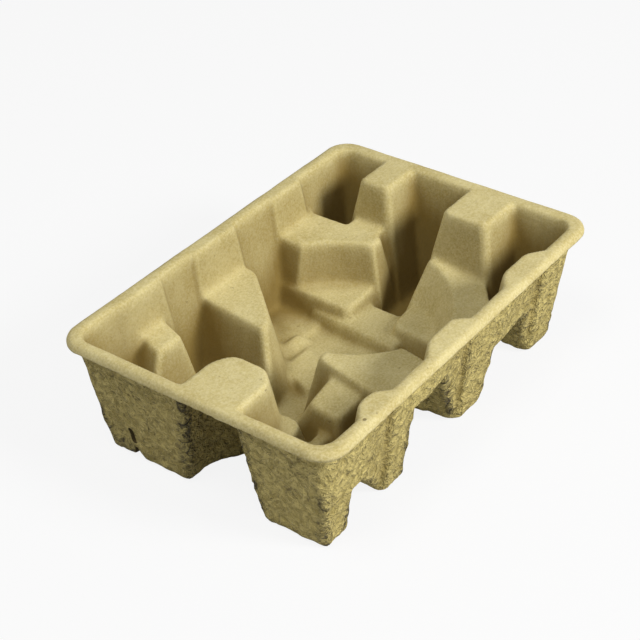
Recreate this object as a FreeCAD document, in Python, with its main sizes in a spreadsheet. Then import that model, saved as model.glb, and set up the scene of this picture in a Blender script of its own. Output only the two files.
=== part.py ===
import FreeCAD, Part
import Sketcher
import math
import os

# Moulded pulp tray, in millimetres.
# The tray stands on its hollow legs at Z 0, centred on X and Y, with its length along X.
# The near end is at -X and the front side is at -Y.
# Places in the sheet are measured inwards from the rim's outer edge, and depths from its top.

SIZES = {
    # whole tray
    "tray_length": 215,
    "tray_width": 150,
    "tray_height": 65,
    "rim_band": 7,
    "lip_height": 4,
    "lip_corner": 13,
    "cavity_corner": 10,
    "wall": 3,
    "wall_draft": 8.5,
    "ledge_draft": 10,
    "steep_draft": 6,
    "jamb_draft": 3,
    "slack_draft": 14,
    "skirt_draft": 22.5,
    # bridge at rim level on the near end, open below
    "bridge_reach": 35,
    "bridge_start": 52,
    "bridge_width": 29.6,
    "bridge_corner": 8,
    "shoulder_reach": 39.5,
    "shoulder_start": 41.5,
    "shoulder_depth": 26,
    # two posts at rim level on the far end
    "back_post_reach": 30.7,
    "back_post_setback": 33.5,
    "back_post_width": 17,
    "front_post_reach": 33.5,
    "front_post_start": 40.5,
    "front_post_width": 24.7,
    # ribs at rim level along the front side
    "rib_reach": 13,
    "rib_slope": 8,
    "first_rib_start": 29.5,
    "first_rib_width": 24,
    "middle_rib_start": 79.5,
    "middle_rib_width": 35,
    "last_rib_start": 142.5,
    "last_rib_width": 37,
    # pads that stand proud of the back side above its ledges
    "pad_reach": 8.7,
    "pad_slope": 2.5,
    # ledge on the back side, near the middle, with a slanted right edge
    "middle_ledge_depth": 23,
    "middle_ledge_start": 86.5,
    "middle_ledge_width": 30.5,
    "middle_ledge_shoulder": 18,
    "middle_ledge_reach": 53,
    "middle_ledge_tip_start": 80,
    "middle_ledge_tip_width": 8,
    # small ledge on the back side, at the near end
    "corner_ledge_depth": 20,
    "corner_ledge_start": 38.5,
    "corner_ledge_width": 14,
    "corner_ledge_reach": 26,
    "corner_ledge_neck_start": 55.5,
    "corner_ledge_neck_width": 8,
    # ledge on the back side, at the far end, that turns round the back corner pocket
    "arm_ledge_depth": 21,
    "arm_ledge_start": 145.5,
    "arm_ledge_width": 28,
    "arm_ledge_reach": 57,
    "arm_end": 27,
    "arm_start": 101,
    "arm_back": 117,
    # steps below that ledge
    "back_step_depth": 44,
    "back_step_start": 139,
    "back_step_width": 26.5,
    "back_step_reach": 57.5,
    "low_step_depth": 50.5,
    "low_step_start": 133.5,
    "low_step_width": 23,
    "low_step_front": 61,
    "low_step_back": 115,
    # ledge on the front side, near the middle
    "front_ledge_depth": 23,
    "front_ledge_start": 70.8,
    "front_ledge_tip_start": 77,
    "front_ledge_tip_width": 10.5,
    "front_ledge_reach": 64,
    "front_ledge_end": 105.6,
    "front_ledge_end_back": 45,
    "front_ledge_end_front": 31.5,
    "front_ledge_neck": 93.5,
    "front_skirt_start": 84,
    "front_skirt_end": 101,
    "skirt_reach": 26,
    # block and low saddles between the near end's front leg and its neighbours
    "block_depth": 30,
    "block_start": 53.5,
    "block_width": 20,
    "block_front": 38,
    "block_length": 15,
    "dam_depth": 33,
    "dam_start": 27.5,
    "dam_front": 42,
    "dam_thickness": 8,
    "near_saddle_depth": 38.5,
    "near_gap_start": 30.3,
    "near_gap_width": 6.2,
    "near_gap_foot": 27.2,
    # saddle and step in front of the far end's front post
    "far_saddle_depth": 26,
    "far_saddle_front_depth": 34.4,
    "far_saddle_back_depth": 16.4,
    "far_saddle_start": 140.5,
    "far_saddle_waist": 168.5,
    "far_saddle_end": 182.5,
    "far_saddle_reach": 68,
    "far_saddle_bend": 41,
    "far_saddle_neck": 30,
    "far_skirt_start": 150,
    "far_skirt_end": 172.8,
    "far_skirt_depth": 32,
    "front_step_depth": 44,
    "front_step_start": 137.5,
    "front_step_end": 167.5,
    "front_step_reach": 66.5,
    # raised floor in the middle
    "floor_depth": 58.5,
    "floor_start": 77.5,
    "floor_nook_start": 92.5,
    "floor_nook_back": 93,
    "floor_front": 63,
    "floor_end": 143.5,
    "tread_depth": 56.5,
    "tread_front": 109,
    # round seats that cut the ledges
    "seat_centre_across": 129.7,
    "seat_centre_along": 78.4,
    "ledge_seat_radius": 48.7,
    "ledge_seat_draft": 14,
    "saddle_seat_radius": 46.8,
    "saddle_seat_draft": 33.5,
    "arm_seat_centre_across": 108.5,
    "arm_seat_centre_along": 80.7,
    "arm_seat_radius": 57.5,
    # slot and notch in the near end's back leg
    "slot_from_back": 30.5,
    "slot_width": 2.6,
    "slot_height": 9.5,
    "slot_bottom": 11.5,
    "notch_width": 8,
    "notch_height": 9,
}

FOOT = "Sizes.tray_height"
LEFT_EDGE = "-Sizes.tray_length / 2"
FRONT_EDGE = "-Sizes.tray_width / 2"

doc = FreeCAD.newDocument("pulp_tray_model")
sheet = doc.addObject("Spreadsheet::Sheet", "Sizes")
for row, (alias, number) in enumerate(SIZES.items(), start=1):
    sheet.set(f"A{row}", alias.replace("_", " "))
    sheet.set(f"B{row}", str(number))
    sheet.setAlias(f"B{row}", alias)
doc.recompute()


# Places along a side, as expressions on the sheet's cells
def near(*names):
    """A distance from the near end or the front side: the sum of the named sizes."""
    return " + ".join(f"Sizes.{name}" for name in names)


def far(*names):
    """A distance measured back from the far end."""
    return " - ".join(["Sizes.tray_length"] + [f"Sizes.{name}" for name in names])


def back(*names):
    """A distance measured forwards from the back side."""
    return " - ".join(["Sizes.tray_width"] + [f"Sizes.{name}" for name in names])


NEAR_END = "0"
FAR_END = far()
FRONT_SIDE = "0"
BACK_SIDE = back()


def rectangle(x_start, x_end, y_start, y_end):
    """The four corners of a rectangle, anticlockwise."""
    return [(x_start, y_start), (x_end, y_start), (x_end, y_end), (x_start, y_end)]


def outline(name, corners, depth):
    """A closed sketch through the corners, at a depth below the rim's top."""
    sketch = doc.addObject("Sketcher::SketchObject", name + "_outline")
    guess_centre = 80
    guess_radius = 50
    count = len(corners)
    start_angle = -math.pi * (1 / 2 + 1 / count)
    points = []
    for index in range(count):
        angle = start_angle + math.tau * index / count
        x = guess_centre + guess_radius * math.cos(angle)
        y = guess_centre + guess_radius * math.sin(angle)
        points.append(FreeCAD.Vector(x, y, 0))
    for index in range(count):
        sketch.addGeometry(Part.LineSegment(points[index], points[(index + 1) % count]), False)
    for index in range(count):
        sketch.addConstraint(Sketcher.Constraint("Coincident", index, 2, (index + 1) % count, 1))
    for index, corner in enumerate(corners):
        for axis, place, start in zip("XY", corner, points[index]):
            label = f"corner_{index}_{axis.lower()}"
            kind = "Distance" + axis
            added = sketch.addConstraint(Sketcher.Constraint(kind, -1, 1, index, 1, start))
            sketch.renameConstraint(added, label)
            sketch.setExpression("Constraints." + label, place)
    sketch.setExpression("Placement.Base.x", LEFT_EDGE)
    sketch.setExpression("Placement.Base.y", FRONT_EDGE)
    sketch.setExpression("Placement.Base.z", f"{FOOT} - ({depth})")
    return sketch


def sink(name, base, length, draft):
    """The base outline drawn straight down, spreading by the draft angle."""
    solid = doc.addObject("Part::Extrusion", name)
    solid.Base = base
    solid.DirMode = "Custom"
    solid.Dir = FreeCAD.Vector(0, 0, -1)
    solid.Solid = True
    solid.setExpression("LengthFwd", length)
    solid.setExpression("TaperAngle", draft)
    return solid


def seat_cone(name, seat, depth, draft, extra):
    """A round seat's cone, with its radius given at a depth, from the foot to above the rim."""
    cone = doc.addObject("Part::Cone", name)
    below = f"(Sizes.tray_height - {depth} + Sizes.wall) * tan({draft} * 1deg)"
    above = f"({depth} + Sizes.wall) * tan({draft} * 1deg)"
    cone.setExpression("Radius1", f"Sizes.{seat}_radius + {extra} - {below}")
    cone.setExpression("Radius2", f"Sizes.{seat}_radius + {extra} + {above}")
    cone.setExpression("Height", "Sizes.tray_height + 2 * Sizes.wall")
    centre = "arm_seat_centre" if seat == "arm_seat" else "seat_centre"
    cone.setExpression("Placement.Base.x", f"{LEFT_EDGE} + Sizes.{centre}_across")
    cone.setExpression("Placement.Base.y", f"{FRONT_EDGE} + Sizes.{centre}_along")
    cone.setExpression("Placement.Base.z", "-Sizes.wall")
    return cone


def cut(name, base, tool):
    """The base with the tool taken away."""
    result = doc.addObject("Part::Cut", name)
    result.Base = base
    result.Tool = tool
    return result


def slope_cutter(name, front_depth, back_depth, drop):
    """A block over a plane that rises from the front side to the back side."""
    block = doc.addObject("Part::Box", name)
    block.setExpression("Length", "Sizes.tray_length")
    block.setExpression("Width", "2 * Sizes.tray_width")
    block.setExpression("Height", "2 * Sizes.tray_height")
    block.Placement.Rotation = FreeCAD.Rotation(FreeCAD.Vector(1, 0, 0), 1)
    block.setExpression("Placement.Base.x", LEFT_EDGE)
    block.setExpression("Placement.Base.y", FRONT_EDGE)
    block.setExpression("Placement.Base.z", f"{FOOT} - {front_depth} - {drop}")
    rise = f"({front_depth} - {back_depth}) / Sizes.tray_width"
    block.setExpression("Placement.Rotation.Angle", f"atan({rise})")
    return block


def common(name, pieces):
    """What the pieces share."""
    result = doc.addObject("Part::MultiCommon", name)
    result.Shapes = pieces
    return result


def fuse(name, pieces):
    """The pieces joined into one."""
    result = doc.addObject("Part::MultiFuse", name)
    result.Shapes = pieces
    return result


# Raised forms: each pushes up into the cavity, and is hollow from below by the wall
raised_forms = []
hollows = []


def raise_form(name, corners, depth="0", draft="Sizes.ledge_draft", seat=None, seat_draft=None,
               bound=None, slope=None, hollow=True):
    """A form with a flat top at a depth, and the hollow one wall inside it."""
    length = f"{FOOT} - ({depth})"
    top = outline(name, corners, depth)
    form = sink(name, top, length, draft)
    if bound:
        bound_top = outline(name + "_bound", bound, depth)
        bound_form = sink(name + "_bound", bound_top, length, "Sizes.jamb_draft")
        form = common(name + "_bounded", [form, bound_form])
    if slope:
        form = cut(name + "_sloped", form, slope_cutter(name + "_slope", *slope, "0"))
    if seat:
        form = cut(name + "_seated", form, seat_cone(name + "_seat", seat, depth, seat_draft, "0"))
    raised_forms.append(form)
    if not hollow:
        return
    room = lowered(name, top, length, draft)
    if bound:
        bound_room = lowered(name + "_bound", bound_top, length, "Sizes.jamb_draft")
        room = common(name + "_hollow_bounded", [room, bound_room])
    if slope:
        lower = slope_cutter(name + "_hollow_slope", *slope, "Sizes.wall")
        room = cut(name + "_hollow_sloped", room, lower)
    if seat:
        wider = seat_cone(name + "_hollow_seat", seat, depth, seat_draft, "Sizes.wall")
        room = cut(name + "_hollow_seated", room, wider)
    hollows.append(room)


def lowered(name, top, length, draft):
    """The outline moved in by one wall and drawn down from one wall lower."""
    inset = doc.addObject("Part::Offset2D", name + "_inset")
    inset.Source = top
    inset.Mode = "Pipe"
    inset.Join = "Intersection"
    inset.setExpression("Value", "-Sizes.wall")
    room = sink(name + "_hollow", inset, length, draft)
    room.setExpression("Placement.Base.z", "-Sizes.wall")
    return room


# Bridge at the near end, with its two inner corners cut off, and the shoulder beside it
bridge_end = near("bridge_start", "bridge_width")
bridge_inner = near("bridge_reach")
bridge_cut = near("bridge_reach") + " - Sizes.bridge_corner"
raise_form("near_bridge", [
    (NEAR_END, near("bridge_start")),
    (bridge_cut, near("bridge_start")),
    (bridge_inner, near("bridge_start", "bridge_corner")),
    (bridge_inner, bridge_end + " - Sizes.bridge_corner"),
    (bridge_cut, bridge_end),
    (NEAR_END, bridge_end),
])
raise_form("near_shoulder", [
    (NEAR_END, near("shoulder_start")),
    (near("shoulder_reach") + " - Sizes.bridge_corner", near("shoulder_start")),
    (near("shoulder_reach"), near("shoulder_start", "bridge_corner")),
    (near("shoulder_reach"), bridge_end + " - Sizes.bridge_corner"),
    (NEAR_END, bridge_end + " - Sizes.bridge_corner"),
], depth="Sizes.shoulder_depth", hollow=False)

# Posts at the far end
raise_form("back_post", rectangle(
    far("back_post_reach"), FAR_END,
    back("back_post_setback", "back_post_width"), back("back_post_setback")))
raise_form("front_post", rectangle(
    far("front_post_reach"), FAR_END,
    near("front_post_start"), near("front_post_start", "front_post_width")))


# Ribs along the front side, with sloped ends, and solid behind
def add_rib(name, start, width):
    """A rib whose ends slope back to the wall."""
    raise_form(name, [
        (near(start), near("rim_band")),
        (near(start), FRONT_SIDE),
        (near(start, width), FRONT_SIDE),
        (near(start, width), near("rim_band")),
        (near(start, width) + " - Sizes.rib_slope", near("rib_reach")),
        (near(start, "rib_slope"), near("rib_reach")),
    ], hollow=False)


for rib in ("first_rib", "middle_rib", "last_rib"):
    add_rib(rib, rib + "_start", rib + "_width")


# Pads above the back side's ledges
def add_pad(name, start, end):
    """A thin pad on the back side whose ends slope back to the wall."""
    raise_form(name, [
        (start + " - Sizes.pad_slope", back("rim_band")),
        (start, back("pad_reach")),
        (end, back("pad_reach")),
        (end + " + Sizes.pad_slope", back("rim_band")),
        (end + " + Sizes.pad_slope", BACK_SIDE),
        (start + " - Sizes.pad_slope", BACK_SIDE),
    ], draft="Sizes.wall_draft", hollow=False)


add_pad("corner_pad", near("corner_ledge_start"),
        near("corner_ledge_neck_start", "corner_ledge_neck_width"))
add_pad("middle_pad", near("middle_ledge_start"), near("middle_ledge_start", "middle_ledge_width"))
add_pad("arm_pad", near("arm_ledge_start"), near("arm_ledge_start", "arm_ledge_width"))

# Ledges on the back side
raise_form("corner_ledge", [
    (near("corner_ledge_start"), back("corner_ledge_reach")),
    (near("corner_ledge_start", "corner_ledge_width"), back("corner_ledge_reach")),
    (near("corner_ledge_neck_start", "corner_ledge_neck_width"), BACK_SIDE),
    (near("corner_ledge_neck_start"), BACK_SIDE),
], depth="Sizes.corner_ledge_depth")

middle_end = near("middle_ledge_start", "middle_ledge_width")
raise_form("middle_ledge", [
    (near("middle_ledge_tip_start"), back("middle_ledge_reach")),
    (near("middle_ledge_tip_start", "middle_ledge_tip_width"), back("middle_ledge_reach")),
    (middle_end, back("middle_ledge_shoulder")),
    (middle_end, BACK_SIDE),
    (near("middle_ledge_start"), BACK_SIDE),
], depth="Sizes.middle_ledge_depth")

arm_ledge_end = near("arm_ledge_start", "arm_ledge_width")
raise_form("arm_ledge", [
    (near("arm_ledge_start"), back("arm_ledge_reach")),
    (arm_ledge_end, back("arm_ledge_reach")),
    (far("arm_end"), near("arm_start")),
    (far("arm_end"), near("arm_back")),
    (arm_ledge_end, near("arm_back")),
    (arm_ledge_end, BACK_SIDE),
    (near("arm_ledge_start"), BACK_SIDE),
], depth="Sizes.arm_ledge_depth", seat="arm_seat", seat_draft="Sizes.steep_draft")

# Steps below the arm ledge
raise_form("back_step", rectangle(
    near("back_step_start"), near("back_step_start", "back_step_width"),
    back("back_step_reach"), BACK_SIDE), depth="Sizes.back_step_depth")
low_step_end = near("low_step_start", "low_step_width")
raise_form("low_step", [
    (near("low_step_start"), near("low_step_front")),
    (low_step_end, near("low_step_front")),
    (low_step_end, near("low_step_back")),
    (near("back_step_start"), near("low_step_back")),
    (near("low_step_start"), back("back_step_reach")),
], depth="Sizes.low_step_depth")

# Ledge on the front side, steep along its left sides, and the slack slope of the leg beside it
ledge_lean = "(Sizes.front_ledge_tip_start - Sizes.front_ledge_start)"
ledge_lean += " / (Sizes.front_ledge_reach - Sizes.front_ledge_end_back)"
ledge_back = f"{ledge_lean} * (Sizes.tray_width - Sizes.front_ledge_reach)"
raise_form("front_ledge", [
    (near("front_ledge_start"), FRONT_SIDE),
    (near("front_ledge_neck"), FRONT_SIDE),
    (near("front_ledge_end"), near("front_ledge_end_front")),
    (near("front_ledge_end"), near("front_ledge_end_back")),
    (near("front_ledge_tip_start", "front_ledge_tip_width"), near("front_ledge_reach")),
    (near("front_ledge_tip_start"), near("front_ledge_reach")),
    (near("front_ledge_start"), near("front_ledge_end_back")),
], depth="Sizes.front_ledge_depth", draft="Sizes.slack_draft",
    seat="ledge_seat", seat_draft="Sizes.ledge_seat_draft", bound=[
        (near("front_ledge_start"), FRONT_SIDE),
        (FAR_END, FRONT_SIDE),
        (FAR_END, BACK_SIDE),
        (near("front_ledge_tip_start") + " + " + ledge_back, BACK_SIDE),
        (near("front_ledge_start"), near("front_ledge_end_back")),
    ])
raise_form("front_skirt", rectangle(
    near("front_skirt_start"), near("front_skirt_end"), FRONT_SIDE, near("skirt_reach")),
    depth="Sizes.front_ledge_depth + Sizes.wall / 4", draft="Sizes.skirt_draft")

# Block, dam and low saddle between the near end's front leg and the next leg
raise_form("block", rectangle(
    near("block_start"), near("block_start", "block_width"),
    near("block_front"), near("block_front", "block_length")), depth="Sizes.block_depth")
raise_form("dam", rectangle(
    near("dam_start"), near("block_start", "wall"),
    near("dam_front"), near("dam_front", "dam_thickness")), depth="Sizes.dam_depth")


def ramp(name, start, top_end, foot_end, height):
    """A low wall across the front side with a flat top, one upright face and one sloping face."""
    wedge = doc.addObject("Part::Wedge", name)
    wedge.setExpression("Xmin", start)
    wedge.setExpression("X2min", start)
    wedge.setExpression("X2max", top_end)
    wedge.setExpression("Xmax", foot_end)
    wedge.setExpression("Ymax", height)
    wedge.setExpression("Zmin", "-Sizes.block_front - Sizes.wall")
    wedge.setExpression("Z2min", "-Sizes.block_front - Sizes.wall")
    wedge.Zmax = 0
    wedge.Z2max = 0
    wedge.Placement.Rotation = FreeCAD.Rotation(FreeCAD.Vector(1, 0, 0), 90)
    wedge.setExpression("Placement.Base.x", LEFT_EDGE)
    wedge.setExpression("Placement.Base.y", FRONT_EDGE)
    return wedge


saddle_top = f"{FOOT} - Sizes.near_saddle_depth"
saddle_slope = f"((Sizes.near_gap_foot - Sizes.near_gap_width) / ({saddle_top} - Sizes.wall))"
saddle_skin = f"Sizes.wall * sqrt(1 + {saddle_slope} ^ 2)"
raised_forms.append(ramp(
    "near_saddle", "Sizes.near_gap_start - Sizes.wall",
    near("near_gap_start", "near_gap_width") + f" + {saddle_skin} - Sizes.wall * {saddle_slope}",
    near("near_gap_start", "near_gap_foot") + f" + {saddle_skin}", saddle_top))
hollows.append(ramp(
    "near_saddle_hollow", near("near_gap_start"), near("near_gap_start", "near_gap_width"),
    near("near_gap_start", "near_gap_foot"), f"{saddle_top} - Sizes.wall"))

# Saddle in front of the far end's front post, with its slack slope, and the step below it
raise_form("far_saddle", [
    (near("far_saddle_start"), FRONT_SIDE),
    (near("far_saddle_waist"), FRONT_SIDE),
    (near("far_saddle_waist"), near("far_saddle_neck")),
    (near("far_saddle_end"), near("far_saddle_bend")),
    (near("far_saddle_end"), near("far_saddle_reach")),
    (near("far_saddle_start"), near("far_saddle_reach")),
], depth="Sizes.far_saddle_depth", seat="saddle_seat", seat_draft="Sizes.saddle_seat_draft",
    slope=("Sizes.far_saddle_front_depth", "Sizes.far_saddle_back_depth"))
raise_form("far_skirt", rectangle(
    near("far_skirt_start"), near("far_skirt_end"), FRONT_SIDE, near("skirt_reach")),
    depth="Sizes.far_skirt_depth", draft="Sizes.skirt_draft")
raise_form("front_step", rectangle(
    near("front_step_start"), near("front_step_end"),
    FRONT_SIDE, near("front_step_reach")), depth="Sizes.front_step_depth")

# Raised floor in the middle, with a low tread across its back half
raise_form("middle_floor", [
    (near("floor_nook_start"), near("floor_front")),
    (near("floor_end"), near("floor_front")),
    (near("floor_end"), BACK_SIDE),
    (near("floor_start"), BACK_SIDE),
    (near("floor_start"), near("floor_nook_back")),
    (near("floor_nook_start"), near("floor_nook_back")),
], depth="Sizes.floor_depth")
raise_form("tread", rectangle(
    near("floor_start"), near("floor_end"), near("tread_front"), BACK_SIDE),
    depth="Sizes.tread_depth")


# Rounded rectangles for the block, the cavity and the rim
def rounded_plate(name, inset, radius):
    """A sketch of the rim's rectangle moved in by an inset, with round corners."""
    sketch = doc.addObject("Sketcher::SketchObject", name + "_outline")
    reach = 100
    bend = 10
    places = [(bend, 0), (reach - bend, 0), (reach, bend), (reach, reach - bend),
              (reach - bend, reach), (bend, reach), (0, reach - bend), (0, bend)]
    points = [FreeCAD.Vector(x, y, 0) for x, y in places]
    turns = [((reach - bend, bend), -90), ((reach - bend, reach - bend), 0),
             ((bend, reach - bend), 90), ((bend, bend), 180)]
    for side in range(4):
        sketch.addGeometry(Part.LineSegment(points[2 * side], points[2 * side + 1]), False)
        (x, y), angle = turns[side]
        circle = Part.Circle(FreeCAD.Vector(x, y, 0), FreeCAD.Vector(0, 0, 1), bend)
        arc = Part.ArcOfCircle(circle, math.radians(angle), math.radians(angle + 90))
        sketch.addGeometry(arc, False)
    for side in range(4):
        line = 2 * side
        arc = line + 1
        next_line = (line + 2) % 8
        sketch.addConstraint(Sketcher.Constraint("Tangent", line, 2, arc, 1))
        sketch.addConstraint(Sketcher.Constraint("Tangent", arc, 2, next_line, 1))
        direction = "Horizontal" if side % 2 == 0 else "Vertical"
        sketch.addConstraint(Sketcher.Constraint(direction, line))
    for arc in (3, 5, 7):
        sketch.addConstraint(Sketcher.Constraint("Equal", 1, arc))
    limits = [("radius", Sketcher.Constraint("Radius", 1, bend), radius),
              ("front", Sketcher.Constraint("DistanceY", -1, 1, 0, 1, 1), inset),
              ("left", Sketcher.Constraint("DistanceX", -1, 1, 6, 1, 1), inset),
              ("right", Sketcher.Constraint("DistanceX", -1, 1, 2, 1, reach),
               f"Sizes.tray_length - ({inset})"),
              ("back", Sketcher.Constraint("DistanceY", -1, 1, 4, 1, reach),
               f"Sizes.tray_width - ({inset})")]
    for label, constraint, size in limits:
        added = sketch.addConstraint(constraint)
        sketch.renameConstraint(added, label)
        sketch.setExpression("Constraints." + label, size)
    sketch.setExpression("Placement.Base.x", LEFT_EDGE)
    sketch.setExpression("Placement.Base.y", FRONT_EDGE)
    sketch.setExpression("Placement.Base.z", FOOT)
    return sketch


# The block narrows downwards, and so does the cavity inside it
block_outline = rounded_plate("shell_block", "Sizes.rim_band - Sizes.wall",
                              "Sizes.cavity_corner + Sizes.wall")
shell_block = sink("shell_block", block_outline, FOOT, "-Sizes.wall_draft")
cavity_outline = rounded_plate("cavity", "Sizes.rim_band", "Sizes.cavity_corner")
cavity = sink("cavity", cavity_outline, "Sizes.tray_height - Sizes.wall", "-Sizes.wall_draft")

# Rim flange with its turned-down lip
lip_outline = rounded_plate("lip", "0", "Sizes.lip_corner")
lip_plate = sink("lip_plate", lip_outline, "Sizes.lip_height", "0")
lip_opening = sink("lip_opening", cavity_outline, "Sizes.lip_height", "-Sizes.wall_draft")
lip_ring = cut("lip_ring", lip_plate, lip_opening)

# Slot and notch through the near end's back leg
slot = doc.addObject("Part::Box", "slot")
slot.setExpression("Length", "Sizes.tray_height / 3")
slot.setExpression("Width", "Sizes.slot_width")
slot.setExpression("Height", "Sizes.slot_height")
slot.setExpression("Placement.Base.x", LEFT_EDGE)
slot.setExpression("Placement.Base.y", f"-({FRONT_EDGE}) - Sizes.slot_from_back - Sizes.slot_width / 2")
slot.setExpression("Placement.Base.z", "Sizes.slot_bottom")
notch = doc.addObject("Part::Wedge", "notch")
notch.setExpression("Xmax", "Sizes.tray_height / 3")
notch.setExpression("X2max", "Sizes.tray_height / 3")
notch.X2min = 0
notch.setExpression("Ymax", "Sizes.notch_height")
notch.setExpression("Zmin", "-Sizes.notch_width / 2")
notch.setExpression("Zmax", "Sizes.notch_width / 2")
notch.setExpression("Z2min", "-Sizes.slot_width / 4")
notch.setExpression("Z2max", "Sizes.slot_width / 4")
notch.Placement.Rotation = FreeCAD.Rotation(FreeCAD.Vector(1, 0, 0), 90)
notch.setExpression("Placement.Base.x", LEFT_EDGE)
notch.setExpression("Placement.Base.y", f"-({FRONT_EDGE}) - Sizes.slot_from_back")

# One moulded wall: the block, less the cavity's free room, less the hollows below
room_above = cut("room_above", cavity, fuse("all_raised_forms", raised_forms))
room_below = fuse("all_hollows", hollows)
bowl = cut("bowl", shell_block, room_above)
hollow_bowl = cut("hollow_bowl", bowl, room_below)
slotted_bowl = cut("slotted_bowl", hollow_bowl, fuse("leg_openings", [slot, notch]))
pulp_tray = fuse("pulp_tray", [slotted_bowl, lip_ring])
pulp_tray.Label = "pulp_tray"

doc.recompute()

for item in doc.Objects:
    if "Invalid" in item.State or "Error" in item.State:
        raise RuntimeError(f"{item.Label} failed: {item.State}")
nodes = [pulp_tray]
for node in nodes:
    if node.Shape.isNull() or not node.Shape.isValid():
        raise RuntimeError(f"{node.Label} has no valid shape")

os.makedirs("parts", exist_ok=True)
for node in nodes:
    node.Shape.exportStep(f"parts/{node.Label}.step")
    box = node.Shape.BoundBox
    print(node.Label, len(node.Shape.Solids), "solid", round(node.Shape.Volume / 1000, 1), "cm3",
          [round(side, 2) for side in (box.XLength, box.YLength, box.ZLength)],
          [round(side, 2) for side in (box.XMin, box.YMin, box.ZMin)])
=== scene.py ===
import bpy
import numpy as np
from mathutils import Matrix, Vector


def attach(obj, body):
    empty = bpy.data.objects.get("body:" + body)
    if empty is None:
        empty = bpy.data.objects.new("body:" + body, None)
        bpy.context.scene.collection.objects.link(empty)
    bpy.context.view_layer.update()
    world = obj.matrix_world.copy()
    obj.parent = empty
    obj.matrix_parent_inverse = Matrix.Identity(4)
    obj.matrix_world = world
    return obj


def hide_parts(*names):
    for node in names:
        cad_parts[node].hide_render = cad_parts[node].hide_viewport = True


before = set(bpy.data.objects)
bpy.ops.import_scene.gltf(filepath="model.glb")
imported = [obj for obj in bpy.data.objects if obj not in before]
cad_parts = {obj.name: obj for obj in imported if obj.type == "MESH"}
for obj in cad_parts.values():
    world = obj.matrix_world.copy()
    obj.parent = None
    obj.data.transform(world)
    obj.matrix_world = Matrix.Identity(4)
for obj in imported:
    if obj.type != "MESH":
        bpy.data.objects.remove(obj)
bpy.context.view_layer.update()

millimetre = 0.001

# Sizes in millimetres. x runs along the tray from its near end, y across it to its back side,
# z up from the floor. Depths are below the rim's top.
tray = {
    "length": 215, "width": 150, "height": 65,
    "nearBand": 6.5, "farBand": 8.0, "sideBand": 7.0,   # rim from its outer edge to the cavity
    "lipHeight": 3.6, "lipThick": 3.2, "lipRound": 3.0, "lipCorner": 13.0, "lipSoft": 0.8,
    "cavityCorner": 7.5, "wallSlope": 0.15, "wall": 3.0,
    "floorDepth": 62.0,
    "edgeRound": 1.7, "creaseRound": 3.2, "footRound": 2.4,
    "wallCrease": 1.2, "underEdge": 1.0,                 # rounding of the outside before the feet
    "planBlend": 4.0, "seatBlend": 5.0,                  # softening of the islands' corners
    "wrinkleReach": 7.0, "wrinkleDepth": 9.0,            # how far the legs' corners are torn
    "skyReach": 60.0, "skyTurns": 16, "skyFirst": 3, "skySteps": 14,
    "skyFrom": 0.34, "skySpan": 0.28,                    # hidden sky where shade is painted into the pockets
    "betweenFrom": 0.4, "betweenSpan": 0.3,              # and where shade is painted between the legs
    "fieldStep": 0.4, "margin": 3.2,                     # grid of the heights, past the rim too
    "columns": 262, "rows": 184,                         # points of each sheet of the mesh
    "rounds": 220, "drift": 0.8, "mostStretch": 5.0,     # how these drift to steep places
}

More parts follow.
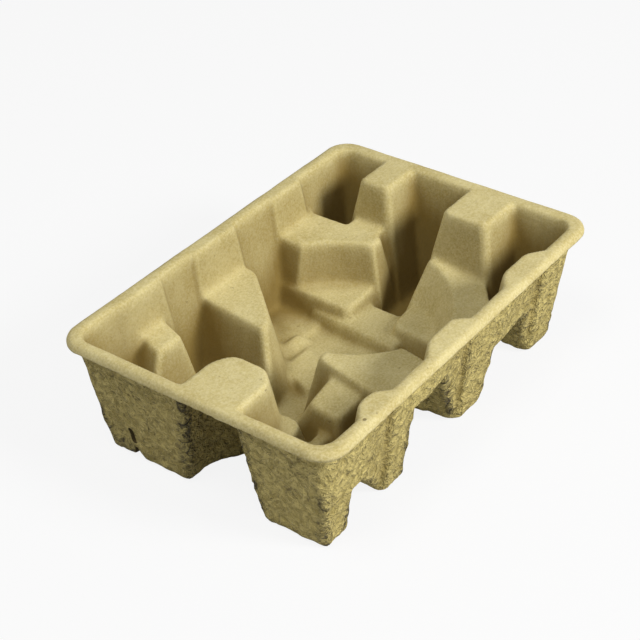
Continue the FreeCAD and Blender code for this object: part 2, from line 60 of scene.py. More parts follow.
# Islands that rise from the floor: corners anticlockwise, depth of the top, and for each side
# the distance it goes out for each millimetre it goes down. A seat is (x, y, radius, draft).
islands = {
    "nearBridge": dict(
        depth=0, draft=[0.07, 0.17, 0.17, 0.17, 0.17, 0.17], blend=3,
        corners=[(-120, -24.5), (-81, -24.5), (-72.5, -17), (-72.5, 0.5), (-81, 6.6),
                (-120, 6.6)]),
    "backPost": dict(
        depth=0, draft=[0.2, 0.15, 0.17, 0.15],
        corners=[(76.8, 24.5), (120, 24.5), (120, 41.5), (76.8, 41.5)]),
    "frontPost": dict(
        depth=0, draft=[0.2, 0.15, 0.17, 0.18],
        corners=[(74, -34.5), (120, -34.5), (120, -9.8), (74, -9.8)]),
    "middleLedge": dict(
        depth=23, draft=[0.2, 0.2, 0.17, 0.17, 0.2],
        corners=[(-27.5, 22), (-19.5, 24), (9.5, 57), (9.5, 90), (-19.2, 90)]),
    "armLedge": dict(
        depth=21, draft=[0.2, 0.17, 0.17, 0.17], seat=(1, 5.7, 57.5, 0.12),
        corners=[(38, 90), (38, 18), (66, 20), (66, 90)]),
    "armLedgeEnd": dict(
        depth=21, draft=0.17, seat=(1, 5.7, 57.5, 0.12), blend=7,
        corners=[(55, 18), (66, 20), (78, 25), (90, 30), (90, 42), (55, 42)]),
    "backStep": dict(
        depth=44, draft=[0.2, 0.25, 0.17, 0.17],
        corners=[(32.5, 90), (31.5, 17.5), (58, 17.5), (58, 90)]),
    "lowStep": dict(
        depth=50.5, draft=[0.3, 0.3, 0.3, 0.17, 0.3],
        corners=[(30, 40), (26, 13), (26, -14), (49, -14), (49, 40)]),
    "frontLedge": dict(
        depth=23, draft=[0.12, 0.03, 0.17, 0.33, 0.25, 0.25, 0.25],
        seat=(22.2, 3.4, 48.7, 0.25),
        corners=[(-30.5, -11), (-36.7, -42), (-36.7, -90), (-19.8, -90),
                (-1.9, -43.5), (-1.9, -30), (-20, -11)]),
    "frontSkirt": dict(
        depth=23.2, draft=[0.2, 0.45, 0.3, 0.2],
        corners=[(-20, -90), (-6.5, -90), (-7.5, -54), (-20, -54)]),
    "farSkirt": dict(
        depth=32, draft=[0.2, 0.38, 0.3, 0.2],
        corners=[(45, -90), (65.6, -90), (64.3, -52), (45, -52)]),
    "block": dict(
        depth=30, draft=[0.2, 0.2, 0.5, 0.2], tilt=(0.12, 0, -53, 0),
        corners=[(-53.5, -39), (-30, -41), (-30, -21), (-52.5, -22.5)]),
    "cornerLedge": dict(
        depth=20, draft=[0.2, 0.2, 0.2, 0.3, 0.5, 0.5], blend=2,
        corners=[(-70, 48.5), (-55, 48), (-51, 60), (-44, 80), (-58, 70), (-69, 56)]),
    "farSaddle": dict(
        depth=28, draft=[0.2, 0.1, 0.1, 0.35, 0.2, 0.17],
        tilt=(0.05, 0.12, 60, -30), seat=(22.2, 3.4, 45.5, 0.66),
        corners=[(50, -7), (33, -20), (33, -90), (59, -90), (61, -45), (61, -7)]),
    "farSaddleNeck": dict(
        depth=28, draft=[0.2, 0.3, 0.17, 0.17],
        tilt=(0.05, 0.12, 60, -30), seat=(22.2, 3.4, 45.5, 0.66),
        corners=[(50, -7), (50, -53.6), (75, -34), (75, -7)]),
    "frontStep": dict(
        depth=44, draft=0.2,
        corners=[(30, -75), (60, -75), (60, -5), (33, -8.5)]),
    "nearSaddle": dict(
        depth=38.5, draft=[0.2, 0.9, 0.2, 0.03],
        corners=[(-80.2, -90), (-69.7, -90), (-69.7, -36), (-80.2, -36)]),
    "dam": dict(
        depth=40, draft=0.3, blend=1,
        corners=[(-80, -36), (-52, -36), (-52, -30), (-80, -32)]),
    "middleFloor": dict(
        depth=58.5, draft=0.4,
        corners=[(-15, 70), (-15, -12), (30, -12), (36, 70)]),
    "middleNook": dict(
        depth=58.5, draft=0.4,
        corners=[(-30, 70), (-30, 18), (0, 18), (0, 70)]),
    "middleFacet": dict(
        depth=56, draft=[0.6, 1.6, 1.4, 0.6], tilt=(0, 0.1, 0, 20), blend=2.5,
        corners=[(-16.5, 7), (1, 7), (7, 23.5), (-11, 24.5)]),
    "nearRidge": dict(
        depth=55, draft=1.3, blend=2.5,
        corners=[(-8, 34), (12, 32.5), (12, 34.5), (-8, 36)]),
    "tread": dict(
        depth=56.5, draft=0.8,
        corners=[(-30, 80), (-30, 38), (-10, 33), (25, 32), (40, 80)]),
}

# Ribs and pads that stand on the walls inside, with no hollow behind them
wallForms = {
    "shoulder": dict(
        depth=26, draft=0.25,
        corners=[(-110, -34), (-76, -34), (-68.5, -30), (-67.5, -20), (-110, -20)]),
    "firstRib": dict(
        depth=0, draft=0.17, blend=2,
        corners=[(-78, -90), (-54, -90), (-54, -68), (-60, -62.4), (-70, -62.4), (-78, -68)]),
    "middleRib": dict(
        depth=0, draft=0.17, blend=2,
        corners=[(-28, -90), (7, -90), (7, -68), (2, -61.9), (-17, -61.9), (-28, -68)]),
    "lastRib": dict(
        depth=0, draft=0.17, blend=2,
        corners=[(35, -90), (72, -90), (72, -68), (64, -61.9), (45, -61.9), (35, -68)]),
    "middlePad": dict(
        depth=0, draft=0.15, blend=1,
        corners=[(-24, 69), (-22, 66.3), (8, 66.3), (10, 69), (10, 90), (-24, 90)]),
    "armPad": dict(
        depth=0, draft=0.15, blend=1,
        corners=[(36, 69), (38, 66.3), (60, 66.3), (62, 69), (62, 90), (36, 90)]),
    "cornerPad": dict(
        depth=0, draft=0.15, blend=1,
        corners=[(-80, 69), (-70, 66.6), (-46, 66.6), (-44, 69), (-44, 90), (-80, 90)]),
}

# Shallow hollows in the outside of the front wall, between its legs
recesses = {
    "nearRecess": dict(
        depth=0, draft=0.15, blend=1,
        corners=[(-80, -90), (-51, -90), (-51, -69), (-54, -66), (-80, -69)]),
    "middleRecess": dict(
        depth=0, draft=0.15, blend=1,
        corners=[(-30, -90), (9.5, -90), (9.5, -69), (6.5, -65.8), (-8, -66.2), (-30, -69)]),
    "farRecess": dict(
        depth=0, draft=0.15, blend=1,
        corners=[(34, -90), (73, -90), (73, -69), (70, -65.8), (54, -66.2), (34, -69)]),
}


def softMax(values, blend):
    # the larger value, eased by a parabola where two come within the blend of each other
    result = values[0]
    for value in values[1:]:
        near = np.maximum(blend - np.abs(result - value), 0) / blend
        result = np.maximum(result, value) + near * near * blend / 4
    return result


def islandHeight(x, y, island):
    # top height less how far outside the outline a point lies, over the draft of the side there
    corners = np.array(island["corners"], float)
    along = np.roll(corners, -1, axis=0) - corners
    area = np.sum(corners[:, 0] * along[:, 1] - corners[:, 1] * along[:, 0])
    drafts = np.broadcast_to(island["draft"], len(corners))
    outward = np.stack([along[:, 1], -along[:, 0]], 1) * np.sign(area)
    outward /= np.hypot(along[:, 0], along[:, 1])[:, None]
    falls = [((x - px) * nx + (y - py) * ny) / draft
             for (px, py), (nx, ny), draft in zip(corners, outward, drafts)]
    fall = softMax(falls, island.get("blend", tray["planBlend"]) / np.mean(drafts))
    if "seat" in island:
        seatX, seatY, radius, draft = island["seat"]
        inSeat = (radius - np.hypot(x - seatX, y - seatY)) / draft
        fall = softMax([fall, inSeat], tray["seatBlend"])
    top = tray["height"] - island["depth"]
    if "tilt" in island:
        slopeX, slopeY, fromX, fromY = island["tilt"]
        top = top + slopeX * (x - fromX) + slopeY * (y - fromY)
    return top - np.maximum(fall, 0)


def rimReach(x, y, near, far, side, corner):
    # distance outside a rectangle with round corners that lies inside the rim; negative inside it
    middle = (near - far) / 2
    halfX = (tray["length"] - near - far) / 2 - corner
    halfY = tray["width"] / 2 - side - corner
    overX = np.abs(x - middle) - halfX
    overY = np.abs(y) - halfY
    beyond = np.hypot(np.maximum(overX, 0), np.maximum(overY, 0))
    return beyond + np.minimum(np.maximum(overX, overY), 0) - corner


def ball(radius):
    # offsets on the field's grid under a ball, with the ball's height above its lowest edge
    steps = int(radius / tray["fieldStep"])
    span = np.arange(-steps, steps + 1)
    i, j = np.meshgrid(span, span, indexing="ij")
    left = radius ** 2 - (i ** 2 + j ** 2) * tray["fieldStep"] ** 2
    keep = left >= 0
    return i[keep], j[keep], np.sqrt(left[keep])


def grown(field, radius):
    # each point rises to the highest place that a ball set on the field reaches above it
    i, j, lift = ball(radius)
    steps = i.max()
    padded = np.pad(field, steps, mode="edge")
    result = np.full_like(field, -np.inf)
    columns, rows = field.shape
    for di, dj, up in zip(i, j, lift):
        part = padded[steps + di:steps + di + columns, steps + dj:steps + dj + rows]
        np.maximum(result, part + up, out=result)
    return result


def shrunk(field, radius):
    # the same, from below
    return -grown(-field, radius)


def filled(field, radius):
    # creases rounded by a ball that rolls on top
    return shrunk(grown(field, radius), radius)


def rounded(field, radius):
    # edges rounded by a ball that rolls underneath
    return grown(shrunk(field, radius), radius)


def hiddenSky(field):
    # share of the sky that higher ground hides: the mean, over directions all round, of the
    # squared sine of the angle up to the horizon
    columns, rows = field.shape
    reach = int(tray["skyReach"] / tray["fieldStep"])
    padded = np.pad(field, reach, constant_values=field.min())
    total = 0
    for turn in np.arange(tray["skyTurns"]) * 2 * np.pi / tray["skyTurns"]:
        rise = np.zeros_like(field)
        for distance in np.geomspace(tray["skyFirst"], reach, tray["skySteps"]):
            i = reach + int(round(distance * np.cos(turn)))
            j = reach + int(round(distance * np.sin(turn)))
            part = padded[i:i + columns, j:j + rows] - field
            np.maximum(rise, part / (distance * tray["fieldStep"]), out=rise)
        total = total + rise ** 2 / (1 + rise ** 2)
    return total / tray["skyTurns"]


class Field:
    # heights on an even grid, read between its points by straight lines
    def __init__(self, x, y, heights):
        self.x, self.y, self.heights = x, y, heights

    def at(self, x, y):
        u = np.clip((x - self.x[0]) / tray["fieldStep"], 0, len(self.x) - 1.001)
        v = np.clip((y - self.y[0]) / tray["fieldStep"], 0, len(self.y) - 1.001)
        i, j = u.astype(int), v.astype(int)
        u, v = u - i, v - j
        h = self.heights
        return ((h[i, j] * (1 - u) + h[i + 1, j] * u) * (1 - v)
                + (h[i, j + 1] * (1 - u) + h[i + 1, j + 1] * u) * v)


def makeFields():
    # heights of the inside and of the underside, and three masks from 0 to 1: how near the legs'
    # corners a place is, how enclosed it is inside, and how enclosed between the legs; the last
    # two set where shade is painted
    reachX = tray["length"] / 2 + tray["margin"]
    reachY = tray["width"] / 2 + tray["margin"]
    gridX = np.arange(-reachX, reachX, tray["fieldStep"])
    gridY = np.arange(-reachY, reachY, tray["fieldStep"])
    x, y = np.meshgrid(gridX, gridY, indexing="ij")
    walls = rimReach(x, y, tray["nearBand"], tray["farBand"], tray["sideBand"],
                     tray["cavityCorner"])
    walls = tray["height"] + np.minimum(walls, 0) / tray["wallSlope"]
    base = np.maximum(walls, tray["height"] - tray["floorDepth"])
    for island in islands.values():
        base = np.maximum(base, islandHeight(x, y, island))
    base = np.minimum(base, tray["height"])
    inside = base
    for form in wallForms.values():
        inside = np.maximum(inside, np.minimum(islandHeight(x, y, form), tray["height"]))
    inside = filled(rounded(inside, tray["edgeRound"]), tray["creaseRound"])
    for form in recesses.values():
        base = np.maximum(base, np.minimum(islandHeight(x, y, form), tray["height"]))
    under = filled(rounded(base, tray["edgeRound"]), tray["wallCrease"])
    under = shrunk(under, tray["wall"])
    wide = filled(under, tray["wrinkleReach"])
    corner = np.clip((wide - under) / tray["wrinkleDepth"], 0, 1)
    under = filled(rounded(under, tray["underEdge"]), tray["footRound"])
    # painted shade: the inside darkens in colour where it hides much of the sky
    cavity = np.clip((hiddenSky(inside) - tray["skyFrom"]) / tray["skySpan"], 0, 1)
    # painted shade: the underside darkens in colour between the legs, where it hides much of the
    # sky
    between = np.clip((hiddenSky(-under) - tray["betweenFrom"]) / tray["betweenSpan"], 0, 1)
    outer = -rimReach(x, y, 0, 0, 0, tray["lipCorner"])
    lipUnder = tray["height"] - tray["lipHeight"]
    lip = np.clip((tray["lipThick"] - outer) / tray["lipSoft"] + 0.5, 0, 1)
    under = under * (1 - lip) + np.minimum(under, lipUnder) * lip
    roll = np.clip(tray["lipRound"] - outer, 0, tray["lipRound"])
    inside = inside - (tray["lipRound"] - np.sqrt(tray["lipRound"] ** 2 - roll ** 2))
    return [Field(gridX, gridY, heights)
            for heights in (inside, np.maximum(under, 0), corner, cavity, between)]


def evenGrid():
    # a rectangle of points; near each corner a point at (a, b) from the corner's centre moves to
    # the distance max(a, b) at an angle of 45 degrees times min / max, which rounds the corner
    corner = tray["lipCorner"]
    halfX, halfY = tray["length"] / 2, tray["width"] / 2
    x, y = np.meshgrid(np.linspace(-halfX, halfX, tray["columns"]),
                       np.linspace(-halfY, halfY, tray["rows"]), indexing="ij")
    a = np.maximum(np.abs(x) - halfX + corner, 0)
    b = np.maximum(np.abs(y) - halfY + corner, 0)
    larger = np.maximum(np.maximum(a, b), 1e-9)
    turn = np.minimum(a, b) / larger * np.pi / 4
    across, aside = larger * np.cos(turn), larger * np.sin(turn)
    inCorner = (a > 0) & (b > 0)
    newA = np.where(inCorner, np.where(a >= b, across, aside), a)
    newB = np.where(inCorner, np.where(a >= b, aside, across), b)
    x = np.where(a > 0, np.sign(x) * (halfX - corner + newA), x)
    y = np.where(b > 0, np.sign(y) * (halfY - corner + newB), y)
    return x, y


def smoothed(weights):
    # each weight mixed with its neighbours' in both directions
    padded = np.pad(weights, 1, mode="edge")
    weights = (padded[:-2, 1:-1] + 2 * padded[1:-1, 1:-1] + padded[2:, 1:-1]) / 4
    padded = np.pad(weights, 1, mode="edge")
    return (padded[1:-1, :-2] + 2 * padded[1:-1, 1:-1] + padded[1:-1, 2:]) / 4


def settled(field):
    # grid points drift to where the surface is steep: each goes to the mean of its neighbours,
    # weighed by how much longer the surface between them is than its plan
    x, y = evenGrid()
    for _ in range(tray["rounds"]):
        z = field.at(x, y)
        weights = []
        for axis in (0, 1):
            plan = np.diff(x, axis=axis) ** 2 + np.diff(y, axis=axis) ** 2
            stretch = np.sqrt(1 + np.diff(z, axis=axis) ** 2 / np.maximum(plan, 1e-6))
            weights.append(smoothed(smoothed(np.minimum(stretch, tray["mostStretch"]))))
        before, after = weights[0][:-1, 1:-1], weights[0][1:, 1:-1]
        below, above = weights[1][1:-1, :-1], weights[1][1:-1, 1:]
        total = before + after + below + above
        for place in (x, y):
            mean = (before * place[:-2, 1:-1] + after * place[2:, 1:-1]
                    + below * place[1:-1, :-2] + above * place[1:-1, 2:]) / total
            place[1:-1, 1:-1] += tray["drift"] * (mean - place[1:-1, 1:-1])
    return x, y, field.at(x, y)


def valueNoise(points, cell, seed):
    # random numbers on a cubic lattice that repeats, blended smoothly between its corners
    size = 64
    lattice = np.random.default_rng(seed).random((size, size, size)) * 2 - 1
    place = points / cell + 1000                         # 1000 keeps it above zero
    corner = np.floor(place).astype(int)
    part = place - corner
    part = part * part * (3 - 2 * part)
    total = 0
    for step in np.ndindex(2, 2, 2):
        step = np.array(step)
        weight = np.prod(np.where(step, part, 1 - part), axis=-1)
        i, j, k = np.moveaxis((corner + step) % size, -1, 0)
        total = total + weight * lattice[i, j, k]
    return total


def gridNormals(points):
    # cross product of the surface's two directions at each point
    along = np.gradient(points, axis=0)
    across = np.gradient(points, axis=1)
    normal = np.cross(along, across)
    return normal / np.maximum(np.linalg.norm(normal, axis=-1, keepdims=True), 1e-9)


# Unevenness in millimetres: how high it is, and how wide its cells are
relief = {
    "insideWave": 0.18, "insideCell": 14, "insideGrain": 0.06, "insideGrainCell": 3.5,
    "outsideWave": 0.35, "outsideCell": 8, "outsideGrain": 0.36, "outsideGrainCell": 3.0,
    "cornerLift": 0.45, "cornerCell": 4.0, "cornerSharp": 3,
}


def buildTray():
    # two settled sheets, one for the inside and one for the underside, joined round the lip
    inside, under, corner, cavity, between = makeFields()
    print("fields made")
    sheets = []
    for field in (inside, under):
        x, y, z = settled(field)
        sheets.append(np.stack([x, y, z], -1))
    print("grids settled")
    top, bottom = sheets
    soft = (relief["insideWave"] * valueNoise(top, relief["insideCell"], 1)
            + relief["insideGrain"] * valueNoise(top, relief["insideGrainCell"], 2))
    top += gridNormals(top) * soft[..., None]
    sharp = corner.at(bottom[..., 0], bottom[..., 1])
    hidden = between.at(bottom[..., 0], bottom[..., 1])
    creased = 1 - relief["cornerSharp"] * np.abs(valueNoise(bottom, relief["cornerCell"], 5))
    rough = (relief["outsideWave"] * valueNoise(bottom, relief["outsideCell"], 3)
             + relief["outsideGrain"] * valueNoise(bottom, relief["outsideGrainCell"], 4)
             - relief["cornerLift"] * sharp * creased)
    bottom -= gridNormals(bottom) * rough[..., None]
    halfX, halfY = tray["length"] / 2, tray["width"] / 2
    for sheet in (top, bottom):
        np.clip(sheet[..., 0], -halfX, halfX, out=sheet[..., 0])
        np.clip(sheet[..., 1], -halfY, halfY, out=sheet[..., 1])
        np.clip(sheet[..., 2], 0, tray["height"], out=sheet[..., 2])
    return top, bottom, sharp, cavity.at(top[..., 0], top[..., 1]), hidden


def gridFaces(count, rows, start, flip):
    # four-sided faces between neighbours on a grid whose points are numbered row by row
    i, j = np.meshgrid(np.arange(count - 1), np.arange(rows - 1), indexing="ij")
    first = start + i * rows + j
    faces = np.stack([first, first + rows, first + rows + 1, first + 1], -1).reshape(-1, 4)
    return faces[:, ::-1] if flip else faces


def trayMesh():
    # both sheets and a strip between their edges as one closed mesh, which carries the masks
    top, bottom, sharp, deep, hidden = buildTray()
    columns, rows = tray["columns"], tray["rows"]
    count = columns * rows
    edge = np.concatenate([np.arange(columns - 1) * rows,
                           (columns - 1) * rows + np.arange(rows - 1),
                           np.arange(columns - 1, 0, -1) * rows + rows - 1,
                           np.arange(rows - 1, 0, -1)])
    following = np.roll(edge, -1)
    side = np.stack([edge + count, following + count, following, edge], -1)
    faces = np.concatenate([gridFaces(columns, rows, 0, False),
                            gridFaces(columns, rows, count, True), side])
    points = np.concatenate([top.reshape(-1, 3), bottom.reshape(-1, 3)]) * millimetre
    mesh = bpy.data.meshes.new("pulpTray")
    mesh.from_pydata(points, [], faces.tolist())
    mesh.validate()
    inner = (columns - 1) * (rows - 1)
    slots = np.zeros(len(faces), np.int32)
    slots[inner:2 * inner] = 1
    for name in ("pulpInside", "pulpOutside", "pulpTorn"):
        mesh.materials.append(bpy.data.materials.new(name))
    mesh.polygons.foreach_set("material_index", slots)
    mesh.polygons.foreach_set("use_smooth", np.ones(len(faces), bool))
    nothing = np.zeros(count)
    # the second mask sets where shade is painted: in the pockets on the inside sheet and between
    # the legs on the underside
    for name, values in (("cornerMask", [nothing, sharp.ravel()]),
                         ("paintedShadeMask", [deep.ravel(), hidden.ravel()])):
        mask = mesh.attributes.new(name, "FLOAT", "POINT")
        mask.data.foreach_set("value", np.concatenate(values))
    return mesh


# The slot and the notch of the back leg at the near end
slotShape = {
    "y": 44.8, "width": 3.0, "height": 9.5, "z": 15.6, "lean": 0.08,
    "notchHalf": 4.2, "notchTip": 1.0, "notchHeight": 8.6, "notchLean": -0.6,
    "reachIn": 16.0, "past": 2,                          # past the wall and below the floor
}


def cutter(name, outline):
    # a prism from outside the near end to just inside its wall, through an outline in y and z
    startX = -tray["length"] / 2 - slotShape["past"]
    endX = -tray["length"] / 2 + slotShape["reachIn"]
    outline = np.array(outline, float)
    count = len(outline)
    points = np.array([(x, y, z) for x in (startX, endX) for y, z in outline]) * millimetre
    faces = [tuple(range(count))[::-1], tuple(range(count, 2 * count))]
    faces += [(i, (i + 1) % count, (i + 1) % count + count, i + count) for i in range(count)]
    mesh = bpy.data.meshes.new(name)
    mesh.from_pydata(points, [], faces)
    mesh.materials.append(bpy.data.materials["pulpTorn"])
    return bpy.data.objects.new(name, mesh)


def oval(y, z, width, height, lean, count=20):
    # an upright oval slot: half circles at both ends, leaning by a share of its height
    turn = np.linspace(0, 2 * np.pi, count, endpoint=False)
    up = np.sin(turn) * width / 2 + np.where(np.sin(turn) >= 0, 1, -1) * (height - width) / 2
    return [(y + np.cos(t) * width / 2 + lean * h, z + h) for t, h in zip(turn, up)]


def makeCutters():
    # the slot, and the notch below it, which narrows upwards
    slot = slotShape
    middle = slot["y"] + slot["notchLean"]
    notch = [(middle - slot["notchHalf"], -slot["past"]),
             (middle + slot["notchHalf"], -slot["past"]),
             (middle + slot["notchTip"], slot["notchHeight"]),
             (middle - slot["notchTip"], slot["notchHeight"])]
    upright = oval(slot["y"], slot["z"], slot["width"], slot["height"], slot["lean"])
    return [cutter("slotCutter", upright), cutter("notchCutter", notch)]


trayObject = bpy.data.objects.new("pulpTray", trayMesh())
bpy.context.collection.objects.link(trayObject)
cutters = makeCutters()
for tool in cutters:
    bpy.context.collection.objects.link(tool)
    cut = trayObject.modifiers.new(tool.name, "BOOLEAN")
    cut.operation = "DIFFERENCE"
    cut.solver = "MANIFOLD"
    cut.object = tool
bpy.context.view_layer.update()
cutMesh = bpy.data.meshes.new_from_object(
    trayObject.evaluated_get(bpy.context.evaluated_depsgraph_get()))
trayObject.modifiers.clear()
trayObject.data = cutMesh
for tool in cutters:
    bpy.data.objects.remove(tool)
print("tray", len(cutMesh.polygons), "faces")

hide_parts("pulp_tray")
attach(trayObject, "root")


class Value:
    # a shader socket that adds Math nodes when it is used in an expression
    def __init__(self, shader, socket):
        self.shader, self.socket = shader, socket

    def math(self, operation, *others, clamp=False):
        inputs = {i: v for i, v in enumerate((self,) + others)}
        settings = {"operation": operation, "use_clamp": clamp}
        return self.shader.node("ShaderNodeMath", settings, inputs)

    def __add__(self, other): return self.math("ADD", other)
    __radd__ = __add__

    def __mul__(self, other): return self.math("MULTIPLY", other)
    __rmul__ = __mul__

    def __sub__(self, other): return self.math("SUBTRACT", other)

    def __rsub__(self, other):
        return self.shader.node("ShaderNodeMath", {"operation": "SUBTRACT"}, {0: other, 1: self})

    def clipped(self, low, high):
        # 0 at the low value, 1 at the high one, straight between and level outside
        return ((self - low) * (1 / (high - low))).math("ADD", 0, clamp=True)


class Shader:
    def __init__(self, name):
        self.material = bpy.data.materials.get(name) or bpy.data.materials.new(name)
        self.material.use_nodes = True
        self.tree = self.material.node_tree
        self.tree.nodes.clear()

    def node(self, kind, settings=None, inputs=None, output=0):
        # adds a node: its settings first, then the values or links of its sockets
        made = self.tree.nodes.new(kind)
        for key, value in (settings or {}).items():
            setattr(made, key, value)
        for key, value in (inputs or {}).items():
            if isinstance(value, Value):
                self.tree.links.new(value.socket, made.inputs[key])
            else:
                made.inputs[key].default_value = value
        return Value(self, made.outputs[output]) if len(made.outputs) else None

    def noise(self, place, name):
        # one of the patterns below, with values from 0 to 1 and mostly near noiseMiddle
        facts = patterns[name]
        return self.node("ShaderNodeTexNoise", None, {
            "Vector": place, "Scale": facts["scale"], "Detail": facts["detail"],
            "Roughness": facts["roughness"], "Distortion": facts["distortion"]})

    def pattern(self, place, name):
        # the same, stretched so that its range goes from 0 to 1
        return self.noise(place, name).clipped(*patterns[name]["range"])

    def away(self, place, name):
        # how far the same is from its middle, which has sharp valleys
        return (self.noise(place, name) - noiseMiddle).math("ABSOLUTE")

    def mixed(self, share, first, second):
        # Mix node in colour mode: its colour sockets are 6 and 7, and its colour output is 2
        return self.node("ShaderNodeMix", {"data_type": "RGBA"},
                         {0: share, 6: first, 7: second}, output=2)

    def finish(self, sockets):
        surface = self.node("ShaderNodeBsdfPrincipled", None, sockets)
        self.node("ShaderNodeOutputMaterial", None, {"Surface": surface})
        return self.material


noiseMiddle = 0.5

# Colours of the pulp, and how much of them the patterns lay over each other
pulpLook = {
    "sheen": (0.58, 0.49, 0.212, 1), "shade": (0.46, 0.37, 0.13, 1),
    # the cavity colour is the painted shade of the pockets and of the places between the legs,
    # and also the colour of the dark specks
    "cavity": (0.19, 0.12, 0.015, 1), "pocketShadeShare": 0.92, "betweenShadeShare": 0.75,
    # outsideDark is the felt's darker tone, and also the painted shade in the low places of its
    # lumps, fibres and creases
    "outside": (0.69, 0.565, 0.2, 1), "outsideDark": (0.28, 0.21, 0.045, 1),
    "fleck": (0.15, 0.105, 0.035, 1), "pale": (0.72, 0.64, 0.37, 1),
    "crack": (0.035, 0.025, 0.009, 1), "torn": (0.09, 0.065, 0.02, 1),
    "roughness": 0.88, "outsideRoughness": 0.95, "tornRoughness": 1.0,
    "dimple": (-0.0773, -0.0708, 0.0645), "dimpleReach": 0.0012, "dimpleCore": 0.6,
    "paleShare": 0.45, "speckShare": 0.2, "fleckShare": 0.7, "dimpleShare": 0.8,
    "pitShare": 0.5, "crackShare": 0.85,
}

# Noise patterns. The scale is how many times one repeats in a metre, roughly. The range holds the
# values where it starts to show and where it shows in full, and for a crack, how far from the
# middle value the line is full and where it ends.
patterns = {
    "mottle": dict(scale=55, detail=4, roughness=0.6, distortion=0, range=(0.35, 0.65)),
    "grain": dict(scale=900, detail=2, roughness=0.6, distortion=0, range=(0.35, 0.65)),
    "fleck": dict(scale=420, detail=2, roughness=0.5, distortion=0.6, range=(0.7, 0.78)),
    "fleckPatch": dict(scale=60, detail=2, roughness=0.55, distortion=0, range=(0.42, 0.6)),
    "speck": dict(scale=1100, detail=2, roughness=0.8, distortion=0, range=(0.5, 0.66)),
    "ripple": dict(scale=260, detail=3, roughness=0.55, distortion=0),
    "fibre": dict(scale=360, detail=4, roughness=0.7, distortion=0.8),
    "lumps": dict(scale=300, detail=3, roughness=0.6, distortion=0.6, range=(0.35, 0.65)),
    "crease": dict(scale=150, detail=2, roughness=0.55, distortion=1.0),
    "pits": dict(scale=200, detail=2, roughness=0.5, distortion=1.4, range=(0.62, 0.7)),
    "longCrack": dict(scale=70, detail=2, roughness=0.5, distortion=0.6, range=(0.006, 0.045)),
    "longCrackGate": dict(scale=56, detail=1, roughness=0.55, distortion=0, range=(0.4, 0.5)),
    "shortCrack": dict(scale=130, detail=2, roughness=0.5, distortion=0.6, range=(0.006, 0.06)),
    "shortCrackGate": dict(scale=104, detail=1, roughness=0.55, distortion=0, range=(0.4, 0.5)),
}

# Height of the inside's patterns in the bump, whose distance is in metres
smooth = {"grain": 0.7, "dimple": 2, "strength": 0.5, "distance": 0.0004}

# The outside: each pattern's part in the tone, its height in the bump and how much is added to
# that towards the legs' corners. The tone rises with the lumps, creases and fibres of the bump,
# so their low places are painted shade. On the open faces the tone stays above lowTone, at the
# corners it goes lower, and openCrack is the part of the cracks that shows away from the corners.
felt = {
    "lumpTone": 0.45, "fibreTone": 0.35, "creaseTone": 0.15, "toneRange": (0.1, 0.6),
    "lump": 0.8, "lumpMore": 0.3, "crease": 0.25, "creaseMore": 1.2, "fibre": 0.6,
    "pit": 0.4, "crack": 0.9, "strength": 1.0, "distance": 0.0024,
    "cornerRange": (0.1, 0.55), "creaseGain": 5,
    "lowTone": 0.15, "cornerLower": 0.1, "openCrack": 0.05,
}


def insideMaterial():
    # pressed smooth: soft mottling, fine grain and scattered fibre flecks, with shade painted
    # into the pockets
    shader = Shader("pulpInside")
    place = shader.node("ShaderNodeTexCoord", output="Object")
    mottle = shader.pattern(place, "mottle")
    grain = shader.noise(place, "grain")
    fleck = shader.pattern(place, "fleck") * shader.pattern(place, "fleckPatch")
    colour = shader.mixed(mottle, pulpLook["shade"], pulpLook["sheen"])
    paleGrain = grain.clipped(*patterns["grain"]["range"]) * pulpLook["paleShare"]
    colour = shader.mixed(paleGrain, colour, pulpLook["pale"])
    speck = shader.pattern(place, "speck")
    colour = shader.mixed(speck * pulpLook["speckShare"], colour, pulpLook["cavity"])
    # painted shade: the more sky a place hides, the more its colour goes to the dark cavity
    # colour
    deep = shader.node("ShaderNodeAttribute", {"attribute_name": "paintedShadeMask"}, output="Fac")
    colour = shader.mixed(deep * pulpLook["pocketShadeShare"], colour, pulpLook["cavity"])
    colour = shader.mixed(fleck * pulpLook["fleckShare"], colour, pulpLook["fleck"])
    # one small dark dent on the rim
    distance = shader.node("ShaderNodeVectorMath", {"operation": "DISTANCE"},
                           {0: place, 1: pulpLook["dimple"]}, output="Value")
    reach = pulpLook["dimpleReach"]
    dimple = 1 - distance.clipped(reach * pulpLook["dimpleCore"], reach)
    colour = shader.mixed(dimple * pulpLook["dimpleShare"], colour, pulpLook["fleck"])
    height = (grain * smooth["grain"] + shader.noise(place, "ripple")
              - dimple * smooth["dimple"])
    bump = shader.node("ShaderNodeBump", None, {
        "Height": height, "Strength": smooth["strength"], "Distance": smooth["distance"]})
    return shader.finish({"Base Color": colour, "Roughness": pulpLook["roughness"],
                          "Normal": bump})


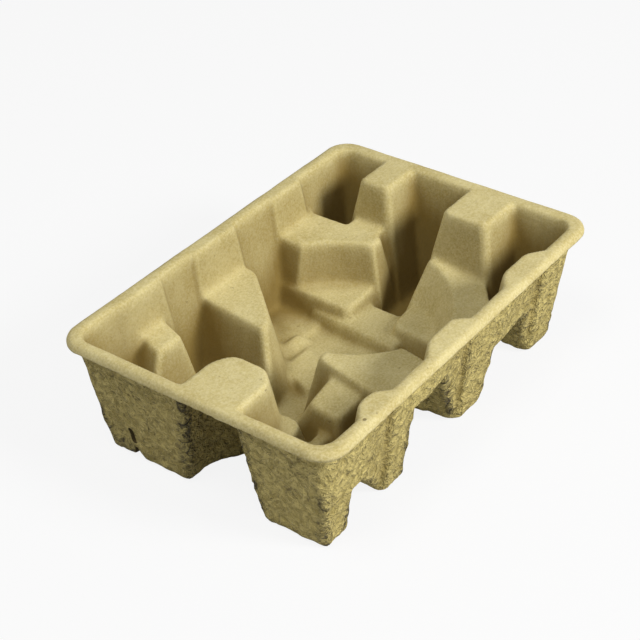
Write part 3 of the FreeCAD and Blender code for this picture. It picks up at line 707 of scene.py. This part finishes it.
def outsideMaterial():
    # felted by the mould's mesh: matted fibres, pits, and torn wrinkles along the legs' corners,
    # with shade painted between the legs and in the low places of the felt
    shader = Shader("pulpOutside")
    place = shader.node("ShaderNodeTexCoord", output="Object")
    corner = shader.node("ShaderNodeAttribute", {"attribute_name": "cornerMask"}, output="Fac")
    between = shader.node("ShaderNodeAttribute", {"attribute_name": "paintedShadeMask"}, output="Fac")
    fibre = shader.noise(place, "fibre")
    lumps = shader.pattern(place, "lumps")
    crease = shader.away(place, "crease") * felt["creaseGain"]
    pits = shader.pattern(place, "pits")
    near = corner.clipped(*felt["cornerRange"])
    # cracks: thin lines where a noise crosses its middle value, broken off by a second noise
    crack = 0
    for name in ("longCrack", "shortCrack"):
        line = 1 - shader.away(place, name).clipped(*patterns[name]["range"])
        crack = line * shader.pattern(place, name + "Gate") + crack
    crack = (crack * (near * (1 - felt["openCrack"]) + felt["openCrack"])).clipped(0, 1)
    # the faces between the corners vary less than the corners do
    # the tone rises with the same patterns as the bump, so the felt's low places are painted
    # darker as shade, over its own uneven tone
    tone = lumps * felt["lumpTone"] + fibre * felt["fibreTone"] + crease * felt["creaseTone"]
    tone = tone.clipped(*felt["toneRange"])
    lower = near * felt["cornerLower"]
    tone = tone * (lower + (1 - felt["lowTone"])) + (felt["lowTone"] - lower)
    colour = shader.mixed(tone, pulpLook["outsideDark"], pulpLook["outside"])
    # painted shade: between the legs the colour goes to the dark cavity colour
    colour = shader.mixed(between * pulpLook["betweenShadeShare"], colour, pulpLook["cavity"])
    colour = shader.mixed(pits * pulpLook["pitShare"], colour, pulpLook["fleck"])
    colour = shader.mixed(crack * pulpLook["crackShare"], colour, pulpLook["crack"])
    height = (lumps * (near * felt["lumpMore"] + felt["lump"])
              + crease * (near * felt["creaseMore"] + felt["crease"])
              + fibre * felt["fibre"] - pits * felt["pit"] - crack * felt["crack"])
    bump = shader.node("ShaderNodeBump", None, {
        "Height": height, "Strength": felt["strength"], "Distance": felt["distance"]})
    return shader.finish({"Base Color": colour, "Roughness": pulpLook["outsideRoughness"],
                          "Normal": bump})


def tornMaterial():
    # the cut faces inside the slot and the notch, in one dark colour
    shader = Shader("pulpTorn")
    return shader.finish({"Base Color": pulpLook["torn"],
                          "Roughness": pulpLook["tornRoughness"]})


insideMaterial()
outsideMaterial()
tornMaterial()
print("materials made")

studio = {
    "floor": 2.4, "floorColour": (0.62, 0.62, 0.62, 1), "floorGlow": 0.88, "ambient": 0.17,
    "keyPower": 20.0, "keySize": 0.45, "keyPlace": (0.2, -1.2, 0.82),
    "fillPower": 9.0, "fillSize": 0.6, "fillPlace": (-0.6, 0.0, 1.4),
    "lens": 87.12, "sensor": 36, "camera": (-0.46881, -0.35752, 0.46186),
    "cameraRight": (0.596284, -0.801957, -0.036183),
    "cameraForward": (0.640121, 0.502186, -0.581425),
}


def addFloor():
    # pale paper that the camera sees nearly white, so that only a soft shadow shows on it
    half = studio["floor"]
    mesh = bpy.data.meshes.new("floor")
    mesh.from_pydata([(-half, -half, 0), (half, -half, 0), (half, half, 0), (-half, half, 0)],
                     [], [(0, 1, 2, 3)])
    floor = bpy.data.objects.new("floor", mesh)
    bpy.context.collection.objects.link(floor)
    shader = Shader("floorPaper")
    matt = shader.node("ShaderNodeBsdfDiffuse", None, {"Color": studio["floorColour"]})
    glow = shader.node("ShaderNodeEmission", None, {"Color": (1, 1, 1, 1), "Strength": 1.0})
    path = shader.node("ShaderNodeLightPath")
    mixed = shader.node("ShaderNodeMixShader", None, {
        0: path * studio["floorGlow"], 1: matt, 2: glow})
    shader.node("ShaderNodeOutputMaterial", None, {"Surface": mixed})
    mesh.materials.append(shader.material)


def addWorld():
    # white where the camera, a reflection or a clear surface sees it, and dimmer as light
    world = bpy.data.worlds.new("studioWorld")
    bpy.context.scene.world = world
    world.use_nodes = True
    tree = world.node_tree
    tree.nodes.clear()
    path = tree.nodes.new("ShaderNodeLightPath")
    total = path.outputs["Is Camera Ray"]
    for name in ("Is Glossy Ray", "Is Transmission Ray"):
        add = tree.nodes.new("ShaderNodeMath")
        tree.links.new(total, add.inputs[0])
        tree.links.new(path.outputs[name], add.inputs[1])
        total = add.outputs[0]
    power = tree.nodes.new("ShaderNodeMapRange")
    tree.links.new(total, power.inputs["Value"])
    power.inputs["To Min"].default_value = studio["ambient"]
    power.inputs["To Max"].default_value = 1.0
    background = tree.nodes.new("ShaderNodeBackground")
    tree.links.new(power.outputs[0], background.inputs["Strength"])
    background.inputs["Color"].default_value = (1, 1, 1, 1)
    out = tree.nodes.new("ShaderNodeOutputWorld")
    tree.links.new(background.outputs[0], out.inputs["Surface"])


def addLight(name, place, size, power):
    # a round soft lamp that shines towards the tray
    lamp = bpy.data.lights.new(name, "AREA")
    lamp.shape = "DISK"
    lamp.size = size
    lamp.energy = power
    light = bpy.data.objects.new(name, lamp)
    bpy.context.collection.objects.link(light)
    light.location = place
    light.rotation_euler = Vector(place).to_track_quat("Z", "Y").to_euler()


def addCamera():
    # the photo's camera: its place, the direction to its right and the direction it looks in
    right = Vector(studio["cameraRight"]).normalized()
    back = -Vector(studio["cameraForward"]).normalized()
    up = back.cross(right).normalized()
    lens = bpy.data.cameras.new("photoCamera")
    lens.lens = studio["lens"]
    lens.sensor_width = studio["sensor"]
    camera = bpy.data.objects.new("photoCamera", lens)
    bpy.context.collection.objects.link(camera)
    turned = Matrix((right, up, back)).transposed().to_4x4()
    camera.matrix_world = Matrix.Translation(studio["camera"]) @ turned
    bpy.context.scene.camera = camera


addFloor()
addWorld()
addLight("keyLight", studio["keyPlace"], studio["keySize"], studio["keyPower"])
addLight("fillLight", studio["fillPlace"], studio["fillSize"], studio["fillPower"])
addCamera()
bpy.context.scene.view_settings.view_transform = "Standard"
print("studio made")
